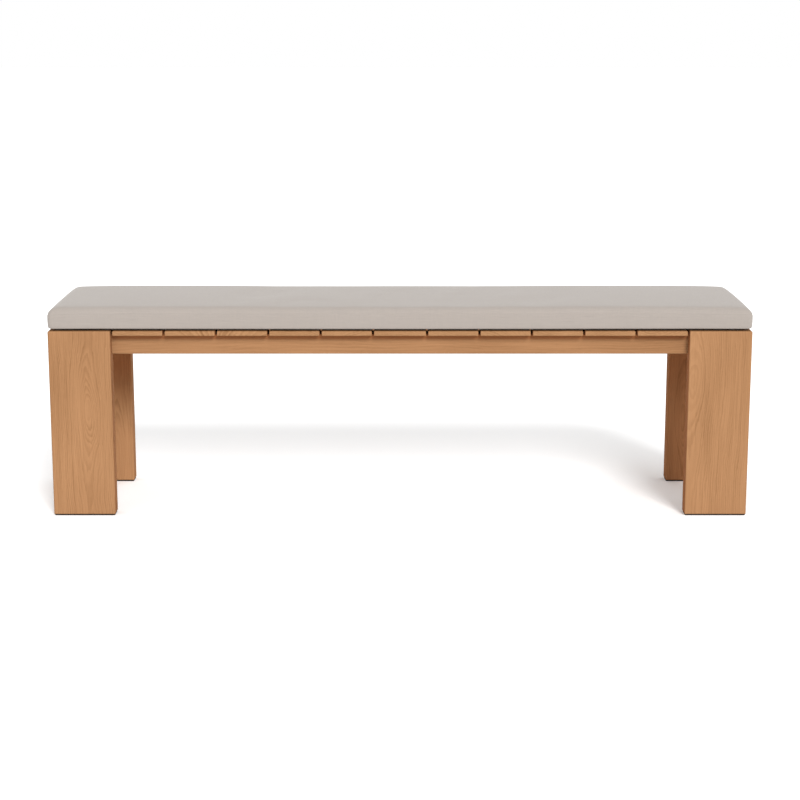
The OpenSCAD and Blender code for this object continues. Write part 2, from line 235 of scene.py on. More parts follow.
    # ends of the grain are a little deeper, and rubbed edges a little paler
    hx, hy, hz = g.split(i["Half"])
    ex = g.math("SUBTRACT", hx, g.math("ABSOLUTE", x))
    ey = g.math("SUBTRACT", hy, g.math("ABSOLUTE", y))
    ez = g.math("SUBTRACT", hz, g.math("ABSOLUTE", z))
    end = g.span(ez, 0.35, 0.05)
    near = g.math("MINIMUM", g.math("MAXIMUM", ex, ey), g.math("MINIMUM", g.math("MAXIMUM", ex, ez), g.math("MAXIMUM", ey, ez)))
    worn = g.math("MULTIPLY", g.span(near, 2.6, 0.6), g.span(g.noise(P, (0.05, 0.05, 0.05), g.math("ADD", seed, 17.0), 3.0), 0.42, 0.6, 0.15, 1.0))
    level = g.math("MULTIPLY", i["Tone"], g.math("ADD", 1.0, g.math("MULTIPLY", worn, 0.05)))
    level = g.math("MULTIPLY", level, g.math("SUBTRACT", 1.0, g.math("MULTIPLY", end, 0.03)))

    def side(distance, reach, strength):
        k = g.math("SUBTRACT", 1.0, g.math("DIVIDE", distance, reach), clamp=True)
        k = g.math("MULTIPLY", k, 1.8, clamp=True)
        return g.math("MULTIPLY", g.math("MULTIPLY", g.math("MULTIPLY", k, k), g.math("SUBTRACT", 3.0, g.math("MULTIPLY", k, 2.0))), strength)

    # painted shade: the Deep amounts below darken and redden the colour where the bench's own shade falls
    deep = g.math("ADD", i["Deep"], side(g.math("SUBTRACT", hz, z), i["Top Reach"], i["Deep Top"]))
    facing = side(g.math("ADD", hy, y), 1.6, 1.0)
    deep = g.math("MULTIPLY", deep, g.math("ADD", g.math("SUBTRACT", 1.0, i["Deep Face"]), g.math("MULTIPLY", i["Deep Face"], facing)))
    deep = g.math("ADD", deep, side(g.math("ADD", hx, x), i["Deep Reach"], i["Deep Left"]))
    deep = g.math("ADD", deep, side(g.math("SUBTRACT", hx, x), i["Deep Reach"], i["Deep Right"]))
    deep = g.math("ADD", deep, side(g.math("SUBTRACT", hy, y), 2.2, i["Deep Up"]))
    painted_shade = g.join(*(g.math("SUBTRACT", 1.0, g.math("MULTIPLY", deep, k)) for k in (0.10, 0.28, 0.37)))
    g.feed(o["Color"], g.vmath("MULTIPLY", g.tint(col, level), painted_shade))
    rough = g.math("ADD", 0.64, g.math("MULTIPLY", f2, 0.16))
    rough = g.math("ADD", rough, g.math("MULTIPLY", pore, 0.12))
    g.feed(o["Roughness"], g.math("SUBTRACT", rough, g.math("MULTIPLY", worn, 0.06)))
    h = g.math("ADD", g.math("MULTIPLY", f3, 0.5), g.math("MULTIPLY", f2, 0.5))
    h = g.math("SUBTRACT", h, g.math("MULTIPLY", pore, 0.9))
    g.feed(o["Height"], g.math("ADD", h, g.math("MULTIPLY", late, 0.35)))
    return t


WOOD_PALE = (0.325, 0.172, 0.0838)
WOOD_DARK = (0.179, 0.0872, 0.0381)
WOOD = wood_group()
AXES = {"x": 0, "y": 1, "z": 2}


def board_material(name, node, axes, flip=(1, 1, 1), **figure):
    """axes names the frame's axes that are the board's across, through and along, such as "xyz" for an upright plank."""
    lo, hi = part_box(node)
    c, h = (lo + hi) / 2, (hi - lo) * 500.0
    m, g, b = material(name)
    at = g.node("ShaderNodeTexCoord").outputs["Object"]
    local = g.split(g.vmath("MULTIPLY", g.vmath("SUBTRACT", at, tuple(c)), (1000.0,) * 3))
    picked = [local[AXES[a]] if f > 0 else g.math("MULTIPLY", local[AXES[a]], -1.0) for a, f in zip(axes, flip)]
    n = g.node("ShaderNodeGroup", node_tree=WOOD)
    g.feed(n.inputs["Board"], g.join(*picked))
    n.inputs["Half"].default_value = tuple(h[AXES[a]] for a in axes)
    for k, v in figure.items():
        n.inputs[k.replace("_", " ")].default_value = v
    g.feed(b.inputs["Base Color"], n.outputs["Color"])
    g.feed(b.inputs["Roughness"], n.outputs["Roughness"])
    g.feed(b.inputs["Normal"], g.bump(n.outputs["Height"], 0.35, 0.0003))
    b.inputs["Specular IOR Level"].default_value = 0.006
    return m


def put(node, m):
    o = NODES[node]
    o.data.materials.clear()
    o.data.materials.append(m)


def figure(Seed, Pith_X=0.0, Pith_Y=0.0, Lean=0.0, Nearest=0.0, Rise=0.34, Reach=110.0, Side=1.0, Ring=4.0, Tone=1.0, Figure=1.0, **more):
    return dict(Seed=Seed, Pith_X=Pith_X, Pith_Y=Pith_Y, Lean=Lean, Nearest=Nearest, Rise=Rise, Reach=Reach, Side=Side, Ring=Ring, Tone=Tone, Figure=Figure, **more)


# legs: X across, Y through, Z along. The front faces are at Y = -20.
# the Deep values paint shade: on the legs' inner faces, the back left leg's upper front under the seat, and the back
# right leg that the front right leg shades
LEGS = {
    "leg_front_left": figure(1.0, 17.0, -20.0, 0.02, 29.0, 0.25, 120.0, 1.0, 3.5, 1.0, 1.0, Deep_Right=0.6),
    "leg_front_right": figure(2.3, -62.0, -20.0, 0.02, 95.0, 0.22, 150.0, 1.0, 4.4, 1.01, 0.75, Deep_Left=1.1),
    "leg_back_left": figure(3.1, 30.0, -20.0, 0.03, -150.0, 0.20, 160.0, 1.0, 4.6, 1.12, 0.75, Deep=0.12, Deep_Top=1.05, Top_Reach=270.0, Deep_Right=0.3, Deep_Face=1.0),
    "leg_back_right": figure(4.7, -30.0, -25.0, -0.02, -60.0, 0.25, 130.0, 1.0, 4.2, 1.0, 0.75, Deep=0.8, Deep_Top=0.3, Top_Reach=250.0, Deep_Left=0.9, Deep_Face=1.0),
}
for k, f in LEGS.items():
    put(k, board_material("wood_" + k, k, "xyz", **f))
# aprons and cleats: Z across, Y through, X along
# the Deep values paint shade: a strip along the aprons' tops under the deck boards' overhang, and the cleats under the
# deck
for k, f in {
    "apron_front": figure(5.2, 30.0, -60.0, 0.01, -200.0, 0.05, 500.0, 1.0, 5.0, 0.97, 0.4, Deep=0.09, Deep_Right=1.15, Deep_Reach=16.0),
    "apron_back": figure(6.4, -30.0, 50.0, 0.01, 100.0, 0.05, 500.0, 1.0, 4.6, 1.0, 0.7, Deep_Right=1.15, Deep_Reach=16.0),
    "slat_cleat_front": figure(7.1, 10.0, 40.0, 0.0, 0.0, 0.03, 600.0, 1.0, 3.6, 0.94, 0.7, Deep=1.0),
    "slat_cleat_back": figure(8.6, -14.0, 40.0, 0.0, 90.0, 0.03, 600.0, 1.0, 3.6, 0.96, 0.7, Deep=1.0),
}.items():
    put(k, board_material("wood_" + k, k, "zyx", **f))
# end rails: Z across, X through, Y along; cross rails too
# Deep on the cross rails paints the shade under the deck
for k, f in {
    "end_rail_left": figure(9.3, 8.0, -15.0, 0.05, 20.0, 0.20, 120.0, 1.0, 4.2, 1.0, 0.9),
    "end_rail_right": figure(10.8, -10.0, 15.0, 0.04, -40.0, 0.20, 120.0, -1.0, 4.2, 1.0, 0.9),
    "cross_rail_left": figure(11.5, 4.0, 40.0, 0.02, 0.0, 0.06, 300.0, 1.0, 4.6, 0.96, 0.7, Deep=0.8),
    "cross_rail_right": figure(12.9, -6.0, 36.0, 0.02, 30.0, 0.06, 300.0, 1.0, 4.6, 0.95, 0.7, Deep=0.8),
}.items():
    put(k, board_material("wood_" + k, k, "zxy", **f))
# deck boards: X across, Z through, Y along. Their ends show at the front.
SLATS = {
    1: figure(13.0, 20.0, 160.0, 0.02, 10.0, 0.10, 260.0, 1.0, 4.6, 1.0, 0.8),
    2: figure(14.0, -46.0, -40.0, 0.0, -120.0, 0.06, 260.0, -1.0, 10.0, 1.05, 1.3),
    3: figure(15.0, 58.0, -42.0, 0.0, -150.0, 0.05, 260.0, -1.0, 10.0, 1.05, 1.3),
    4: figure(16.0, -10.0, -130.0, 0.03, 40.0, 0.14, 200.0, -1.0, 4.4, 0.99, 0.8),
    5: figure(17.0, 60.0, -100.0, 0.0, 0.0, 0.06, 300.0, -1.0, 4.8, 1.01, 0.8),
    6: figure(18.0, -20.0, -150.0, 0.02, -30.0, 0.16, 200.0, -1.0, 4.4, 0.99, 0.8),
    7: figure(19.0, 30.0, 120.0, 0.01, 60.0, 0.10, 260.0, 1.0, 4.6, 1.0, 0.8),
    8: figure(20.0, -64.0, -90.0, 0.0, -20.0, 0.05, 300.0, -1.0, 4.8, 1.0, 0.8),
    9: figure(21.0, 10.0, 140.0, 0.02, 20.0, 0.15, 200.0, 1.0, 4.4, 0.99, 0.8),
    10: figure(22.0, 40.0, -120.0, -0.02, -70.0, 0.10, 260.0, -1.0, 4.6, 1.02, 0.8),
    11: figure(23.0, -24.0, 110.0, 0.0, 30.0, 0.12, 240.0, 1.0, 4.6, 1.0, 0.8),
}
# Deep Left, Deep Right and Deep Up paint shade into the gaps between the deck boards and along their top edges under
# the cushion; the small negative Deep makes each board a little paler overall
for k, f in SLATS.items():
    n = "seat_slat_%02d" % k
    put(n, board_material("wood_" + n, n, "xzy", **f, Deep=-0.1, Deep_Left=1.2, Deep_Right=1.2, Deep_Up=0.1))
put("end_slat_left", board_material("wood_end_slat_left", "end_slat_left", "xzy", **figure(24.0, 12.0, 7.0, 0.02, 10.0, 0.2, 120.0, -1.0, 4.2, 1.0, 0.9)))
put("end_slat_right", board_material("wood_end_slat_right", "end_slat_right", "xzy", **figure(25.0, -30.0, 7.0, 0.02, -30.0, 0.2, 120.0, -1.0, 4.2, 1.0, 0.9)))


# ------------------------------------------------------------------ metals, plastics, dowels
def metal(name, col, rough, streak=(900, 900, 900)):
    m, g, b = material(name)
    at = g.node("ShaderNodeTexCoord").outputs["Object"]
    n = g.noise(at, streak, 1.0, 3.0, 0.6)
    spots = g.noise(at, (160, 160, 160), 4.0, 3.0, 0.6)
    dim = g.math("ADD", 0.86, g.math("MULTIPLY", spots, 0.22))
    g.feed(b.inputs["Base Color"], g.tint(g.blend(n, col, tuple(c * 0.82 for c in col)), dim))
    g.feed(b.inputs["Roughness"], g.span(n, 0.3, 0.7, rough * 0.8, rough * 1.25, "LINEAR"))
    g.feed(b.inputs["Normal"], g.bump(n, 0.2, 0.00005))
    b.inputs["Metallic"].default_value = 1.0
    return m


def plastic(name, col, rough, grain=1400, level=0.4):
    m, g, b = material(name)
    at = g.node("ShaderNodeTexCoord").outputs["Object"]
    n = g.noise(at, (grain,) * 3, 2.0, 2.0, 0.5)
    dust = g.span(g.noise(at, (45, 45, 45), 6.0, 4.0, 0.6), 0.45, 0.75, 0.0, 0.35)
    g.feed(b.inputs["Base Color"], g.blend(dust, g.tint(col, g.math("ADD", 0.85, g.math("MULTIPLY", n, 0.3))), tuple(c * 2.2 + 0.01 for c in col)))
    g.feed(b.inputs["Roughness"], g.span(n, 0.3, 0.7, rough - 0.08, rough + 0.1, "LINEAR"))
    g.feed(b.inputs["Normal"], g.bump(n, 0.3, 0.00008))
    b.inputs["Specular IOR Level"].default_value = level
    return m


stainless = metal("stainless", (0.62, 0.62, 0.61), 0.30, (500, 500, 5000))
brass = metal("brass", (0.70, 0.50, 0.22), 0.34)
zip_metal = metal("zip_metal", (0.52, 0.50, 0.47), 0.36)
pad = plastic("pad_plastic", (0.010, 0.009, 0.008), 0.7, level=0.12)
for k in ("leg_bolts", "leg_bolt_washers", "slat_screws", "cleat_screws", "glide_screws"):
    put(k, stainless)
put("leg_inserts", brass)
put("zip_slider", zip_metal)
put("zip_pull", zip_metal)
for k in NODES:
    if k.startswith("foot_glide"):
        put(k, pad)
m_dowel, g, b = material("dowel_beech")
at = g.node("ShaderNodeTexCoord").outputs["Object"]
n = g.noise(at, (60, 900, 900), 2.0, 3.0, 0.6)
g.feed(b.inputs["Base Color"], g.blend(n, (0.50, 0.34, 0.20), (0.34, 0.21, 0.11)))
g.feed(b.inputs["Roughness"], g.span(n, 0.3, 0.7, 0.55, 0.7))
g.feed(b.inputs["Normal"], g.bump(n, 0.3, 0.0001))
put("rail_dowels", m_dowel)

# ------------------------------------------------------------------ cushion
C_LO, C_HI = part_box("cushion_cover")
CX, CY = C_HI.x * 1000.0, C_HI.y * 1000.0           # the case's half length and half depth, in millimetres
BASE = C_LO.z * 1000.0
T_LO, T_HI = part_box("zipper_tape_upper")
L_LO, L_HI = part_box("zipper_tape_lower")
ZIP_Z = (T_LO.z + L_HI.z) * 500.0 - BASE            # the zip's line, above the case's bottom
ZIP_END = T_HI.x * 1000.0 + 16.0                    # half length of the opening, a little past the tapes
RIM = 60.0                                          # inset at which the rings give way to a plain grid
# The case's section, in millimetres: inset from the nominal face, and height above the bottom
UNDER = [(3.0, 5.6), (3.9, 4.9), (6.4, 4.2), (12.0, 3.1), (20.0, 1.8), (30.0, 0.6), (40.0, 0.1), (60.0, 0.0)]
BORDER = [(5.6, 2.6), (6.2, 1.5), (8.0, 0.7), (11.0, 0.1), (18.0, -0.2), (28.0, -0.4), (35.5, -0.3), (39.7, 0.6)]
CROWN = [(0.6, 39.7), (1.2, 41.7), (2.4, 44.2), (4.0, 46.4), (6.0, 48.5), (9.0, 50.8), (12.0, 52.2), (16.0, 53.5), (22.0, 54.3), (30.0, 54.7), (45.0, 55.0), (60.0, 55.2)]
PLAN_R = 11.5


def curve_through(points, x):
    """Smooth curve through the points that never overshoots them (monotone cubic)."""
    px, py = np.array(points, float).T
    h = np.diff(px)
    s = np.diff(py) / h
    m = np.zeros(len(px))
    m[0], m[-1] = s[0], s[-1]
    for i in range(1, len(px) - 1):
        if s[i - 1] * s[i] > 0:
            w1, w2 = 2 * h[i] + h[i - 1], h[i] + 2 * h[i - 1]
            m[i] = (w1 + w2) / (w1 / s[i - 1] + w2 / s[i])
    x = np.clip(np.asarray(x, float), px[0], px[-1])
    k = np.clip(np.searchsorted(px, x) - 1, 0, len(h) - 1)
    t = (x - px[k]) / h[k]
    return ((1 + 2 * t) * (1 - t) ** 2 * py[k] + t * (1 - t) ** 2 * h[k] * m[k]
            + t * t * (3 - 2 * t) * py[k + 1] + t * t * (t - 1) * h[k] * m[k + 1])


def ease(x, a, b):
    t = np.clip((np.asarray(x, float) - a) / (b - a), 0.0, 1.0)
    return t * t * (3 - 2 * t)


def side_points(half, inset, corner, middle):
    """Places along one side, from one corner to the other."""
    left = -(half - inset) + np.array(corner)
    mid = np.array(middle) * (half - inset - corner[-1]) / (half - corner[-1])
    return np.concatenate([left, mid, -left[::-1]])


def outline(inset, corner, mid_x, mid_y, hx=CX, hy=CY):
    """One ring of the plan, from the front left corner, along the front, the right end, the back and the left end."""
    r = PLAN_R * max(0.0, 1.0 - max(inset, 0.0) / RIM) ** 1.1
    xs, ys = side_points(hx, inset, corner, mid_x), side_points(hy, inset, corner, mid_y)
    a, b = hx - inset, hy - inset

    def edge(along, half, other):
        """Points of one side as (along, outwards), with its ends on the corner arcs."""
        d = half - np.abs(along)
        turn = np.clip(1.0 - d / r, 0.0, 1.0) * math.pi / 4 if r > 1e-6 else np.zeros_like(d)
        on_arc = d < r
        p = np.where(on_arc, np.sign(along) * (half - r + r * np.sin(turn)), along)
        q = np.where(on_arc, other - r + r * np.cos(turn), other)
        return p, q

    px, qx = edge(xs, a, b)
    py, qy = edge(ys, b, a)
    front = np.stack([px, -qx], 1)[:-1]
    right = np.stack([qy, py], 1)[:-1]
    back = np.stack([px[::-1], qx[::-1]], 1)[:-1]
    left = np.stack([-qy[::-1], py[::-1]], 1)[:-1]
    return np.concatenate([front, right, back, left])


def ring_set(under, border, crown, corner, mid_x, mid_y, shrink=0.0):
    """The case as rings and two grids: points, quads, the panel of each quad, and a flat layout of each panel in millimetres."""
    rows = [(n, float(curve_through(UNDER, n)), 0) for n in under[::-1]]
    rows += [(float(curve_through(BORDER, z)), z, 1) for z in border]
    rows += [(n, float(curve_through(CROWN, n)), 2) for n in crown]
    nx = len(side_points(CX, 0, corner, mid_x)) - 1
    ny = len(side_points(CY, 0, corner, mid_y)) - 1
    around = 2 * (nx + ny)
    hx, hy = CX - shrink, CY - shrink
    rings = [outline(n, corner, mid_x, mid_y, hx, hy) for n, z, p in rows]
    pts = [np.column_stack([ring, np.full(around, z)]) for ring, (n, z, p) in zip(rings, rows)]
    # distance run along the section, from the bottom's grid to the top's
    run = [0.0]
    for (n0, z0, _), (n1, z1, _) in zip(rows, rows[1:]):
        run.append(run[-1] + math.hypot(n1 - n0, z1 - z0))
    seam_low, seam_top = run[len(under) - 1], run[len(under) + len(border) - 1]
    inset = np.concatenate([np.full(around, n) for n, z, p in rows])
    along = np.concatenate([np.full(around, s) for s in run])
    verts = np.concatenate(pts)
    steps = np.linalg.norm(np.diff(np.concatenate([rings[len(under)], rings[len(under)][:1]]), axis=0), axis=1)
    girth = np.concatenate([[0.0], np.cumsum(steps)])
    quads, panel, flat = [], [], []

    def laid(k):
        """Panel layout of ring k: its plan at an inset that keeps true lengths along the section."""
        n = RIM - (run[k] if k < len(under) else run[-1] - run[k])
        return outline(n, corner, mid_x, mid_y, hx, hy)

    for k in range(len(rows) - 1):
        p = 0 if k < len(under) - 1 else (1 if k < len(under) + len(border) - 1 else 2)
        if p != 1:
            a, b = laid(k), laid(k + 1)
        for i in range(around):
            j = (i + 1) % around
            quads.append((k * around + i, k * around + j, (k + 1) * around + j, (k + 1) * around + i))
            panel.append(p)
            if p == 1:
                flat.append(((girth[i], run[k]), (girth[i + 1], run[k]), (girth[i + 1], run[k + 1]), (girth[i], run[k + 1])))
            else:
                flat.append((tuple(a[i]), tuple(a[j]), tuple(b[j]), tuple(b[i])))
    # the two grids
    xs, ys = side_points(hx, RIM, corner, mid_x), side_points(hy, RIM, corner, mid_y)
    count = len(verts)
    extra, extra_inset = [], []
    for top in (False, True):
        ring0 = (len(rows) - 1) * around if top else 0
        ids = np.zeros((nx + 1, ny + 1), int)
        for i in range(nx + 1):
            for j in range(ny + 1):
                if j == 0:
                    ids[i, j] = ring0 + i
                elif i == nx:
                    ids[i, j] = ring0 + nx + j
                elif j == ny:
                    ids[i, j] = ring0 + nx + ny + (nx - i)
                elif i == 0:
                    ids[i, j] = ring0 + 2 * nx + ny + (ny - j)
                else:
                    ids[i, j] = count + len(extra)
                    cx = min(1.0, (hx - RIM - abs(xs[i])) / 120.0)
                    cy = min(1.0, (hy - RIM - abs(ys[j])) / 120.0)
                    rise = (1 - (1 - cx) ** 2) * (1 - (1 - cy) ** 2)
                    extra.append((xs[i], ys[j], CROWN[-1][1] + 1.0 * rise if top else 0.0))
                    extra_inset.append(RIM + min(hx - RIM - abs(xs[i]), hy - RIM - abs(ys[j])))
        for i in range(nx):
            for j in range(ny):
                q = (ids[i, j], ids[i + 1, j], ids[i + 1, j + 1], ids[i, j + 1])
                f = ((xs[i], ys[j]), (xs[i + 1], ys[j]), (xs[i + 1], ys[j + 1]), (xs[i], ys[j + 1]))
                if not top:
                    q, f = q[::-1], f[::-1]
                quads.append(q)
                panel.append(2 if top else 0)
                flat.append(f)
    verts = np.concatenate([verts, np.array(extra)])
    top_grid = np.array([e[2] > 1 for e in extra])
    inset = np.concatenate([inset, extra_inset])
    along = np.concatenate([along, np.where(top_grid, run[-1] + 40.0, -40.0)])
    seam = np.minimum(np.abs(along - seam_low), np.abs(along - seam_top))
    return dict(verts=verts, quads=quads, panel=panel, flat=flat, inset=inset, along=along, seam=seam,
                around=around, rows=rows, run=run, under=len(under), border=len(border), nx=nx, ny=ny, signed_low=along - seam_low, signed_top=along - seam_top)


def shaped(P, inset):
    """The set of a filled case: long sides drawn in between the corners, and corners that sit lower."""
    Q = P.copy()
    x, y, z = P.T
    up = ease(z, 20.0, 42.0)
    cx, cy = CX - np.abs(x), CY - np.abs(y)
    Q[:, 2] -= (CORNER_DROP + 0.9 * y / CY) * up * np.exp(-np.hypot(np.maximum(cx, 0.0) + np.maximum(cy, 0.0), 20.0) / 45.0)
    lively = ease(z, 1.0, 9.0)
    bow_y = np.clip(1 - (x / CX) ** 2, 0, 1) ** 0.6 * 1.3
    bow_x = np.sqrt(np.clip(1 - (y / CY) ** 2, 0, 1)) * 0.6
    near_y = np.exp(-(cy / 30.0) ** 2)
    near_x = np.exp(-(cx / 30.0) ** 2)
    Q[:, 1] -= np.sign(y) * (bow_y - 0.5) * near_y * lively
    Q[:, 0] -= np.sign(x) * (bow_x - 0.3) * near_x * lively
    return Q


def slow_waves(P, amp, seed, waves):
    """A sum of a few long waves with fixed random directions."""
    rng = np.random.default_rng(seed)
    out = np.zeros(len(P))
    for w in waves:
        for _ in range(4):
            d = rng.normal(size=3)
            d[1] *= 1.6
            d /= np.linalg.norm(d)
            out += np.sin(P @ d * (2 * math.pi / w) + rng.uniform(0, 6.28)) * rng.uniform(0.5, 1.0)
    return out * amp / (len(waves) * 2.0)


def mesh_piece(name, verts, faces, flat=None, smooth=True, floats=None):
    """A mesh object from points in millimetres, with the faces' flat layout in metres as its UV map."""
    me = bpy.data.meshes.new(name)
    me.from_pydata((np.asarray(verts, float) / 1000.0).tolist(), [], [tuple(int(i) for i in f) for f in faces])
    if flat is not None:
        uv = me.uv_layers.new(name="weave")
        uv.data.foreach_set("uv", (np.array([c for f in flat for c in f], np.float32) / 1000.0).ravel())
    for k, v in (floats or {}).items():
        me.attributes.new(k, "FLOAT", "POINT").data.foreach_set("value", np.asarray(v, np.float32))
    me.validate()
    me.update()
    if smooth:
        me.shade_smooth()
    o = bpy.data.objects.new(name, me)
    scene.collection.objects.link(o)
    return o


CORNER_DROP = 4.5
CORNER = [0, 2.5, 5, 7.5, 10, 13, 17, 22, 28, 35, 43]


def slot_stations(half_end, reach, pitch, close):
    """Places along the back: even, but closer near the two ends of the zip's opening."""
    outer = np.linspace(reach, half_end + 7.5, int((reach - half_end) / pitch) + 1)[1:]
    near = half_end + np.array(close)
    inner = np.linspace(half_end + close[-1] - pitch * 0.9, 0.0, int(half_end / pitch))
    right = np.concatenate([outer, near, inner])
    return np.concatenate([-right, right[-2::-1]])


MID_X = slot_stations(ZIP_END, CX - 43.0, 9.5, (4.0, 1.6, 0.0, -1.6, -3.6, -6.4, -10.0, -15.0))
MID_Y = np.linspace(-(CY - 43), CY - 43, 27)[1:-1]
fine = ring_set([3.0, 3.5, 4.2, 5.0, 6.8, 9.5, 13, 18, 26, 38, 60],
                [5.9, 6.5, 7.5, 9.0, 11.0, 13.4, 15.8, 18.2, 20.4, 22.5, 24.6, ZIP_Z, 28.3, 30.1, 31.9, 33.6, 35.2, 36.6, 37.8, 38.7, 39.3],
                [0.6, 0.9, 1.4, 2.2, 3.3, 4.8, 6.8, 9.5, 13, 17.5, 24, 33, 45, 60],
                CORNER, MID_X, MID_Y)


def cloth_set():
    """How the fabric settles over the filling. A coarse copy of the case is blown up as cloth with its seams drawn tight, and the way
    each point moves, less the even swelling of its ring, is what makes one stretch of the case differ from the next."""
    rough = ring_set([3.0, 12, 30, 60], [14.0, 22.5, 31.0], [0.6, 6, 16, 34, 60], [0, 7, 16, 28, 43],
                     np.linspace(-(CX - 43), CX - 43, 62)[1:-1], np.linspace(-(CY - 43), CY - 43, 13)[1:-1])
    P = shaped(rough["verts"], rough["inset"])
    start = P.copy()
    start[:, 2] += np.where(P[:, 2] > 3, slow_waves(P, 0.8, 11, (70.0, 130.0)), 0.0)
    start[:, 1] += np.where(P[:, 2] > 3, slow_waves(P, 0.5, 12, (60.0, 110.0)), 0.0)
    o = mesh_piece("cloth_trial", start, rough["quads"], smooth=False)
    hold = o.vertex_groups.new(name="hold")
    hold.add([int(i) for i in np.where(P[:, 2] < 0.5)[0]], 1.0, "REPLACE")
    sewn = o.vertex_groups.new(name="sewn")
    sewn.add([int(i) for i in np.where(rough["seam"] < 0.5)[0]], 1.0, "REPLACE")
    mod = o.modifiers.new("cloth", "CLOTH")
    s = mod.settings
    s.quality = 6
    s.mass = 0.3
    s.tension_stiffness = s.compression_stiffness = 40.0
    s.shear_stiffness = 20.0
    s.bending_stiffness = 2.0
    s.tension_damping = s.compression_damping = s.shear_damping = 12.0
    s.vertex_group_mass = "hold"
    s.pin_stiffness = 20.0
    s.use_pressure = True
    s.uniform_pressure_force = 0.06
    s.shrink_min = 0.0
    s.shrink_max = 0.003
    s.vertex_group_shrink = "sewn"
    s.effector_weights.gravity = 0.0
    mod.collision_settings.use_collision = False
    mod.point_cache.frame_start, mod.point_cache.frame_end = 1, 20
    for f in range(1, 21):
        scene.frame_set(f)
    ready = o.evaluated_get(bpy.context.evaluated_depsgraph_get())
    end = np.array([v.co[:] for v in ready.data.vertices]) * 1000.0
    move = end - start
    size = np.linalg.norm(move, axis=1)
    print("cloth set: mean %.2f mm, most %.2f mm" % (size.mean(), size.max()))
    cap = 6.0
    move *= (np.minimum(size, cap) / np.maximum(size, 1e-6))[:, None]
    # outward part of each point's move, less the mean of its ring
    me = ready.data
    normals = np.array([v.normal[:] for v in me.vertices])
    out = np.einsum("ij,ij->i", move, normals)
    key = np.round(rough["along"] + np.where(np.abs(rough["along"]) < 1e5, np.minimum(rough["inset"], 140.0) // 30.0 * 1000.0, 0))
    for k in np.unique(key):
        out[key == k] -= out[key == k].mean()
    scene.frame_set(1)
    bpy.data.objects.remove(o)
    tree = BVHTree.FromPolygons(P.tolist(), [tuple(int(i) for i in q) for q in rough["quads"]])
    return P, rough["quads"], out, tree


def carried(tree, P, quads, value, at):
    """A value given at the points of one mesh, read at nearby places."""
    out = np.zeros(len(at))
    for n, p in enumerate(at):
        spot, _, face, _ = tree.find_nearest(Vector(p))
        ids = list(quads[face])
        w = 1.0 / (np.linalg.norm(P[ids] - np.array(spot), axis=1) + 2.0) ** 2
        out[n] = (value[ids] * w).sum() / w.sum()
    return out


def vertex_normals(P, quads):
    Q = np.array(quads)
    a = P[Q[:, 2]] - P[Q[:, 0]]
    b = P[Q[:, 3]] - P[Q[:, 1]]
    n = np.cross(a, b)
    out = np.zeros_like(P)
    for c in range(4):
        np.add.at(out, Q[:, c], n)
    return out / np.maximum(np.linalg.norm(out, axis=1), 1e-9)[:, None]


def smooth_over(values, quads, rounds):
    """Evens a value out over the mesh."""
    Q = np.array(quads)
    for _ in range(rounds):
        total, count = np.zeros_like(values), np.zeros_like(values)
        for a, b in ((0, 1), (1, 2), (2, 3), (3, 0)):
            np.add.at(total, Q[:, a], values[Q[:, b]])
            np.add.at(total, Q[:, b], values[Q[:, a]])
            np.add.at(count, Q[:, a], 1)
            np.add.at(count, Q[:, b], 1)
        values = 0.5 * values + 0.5 * total / np.maximum(count, 1)
    return values


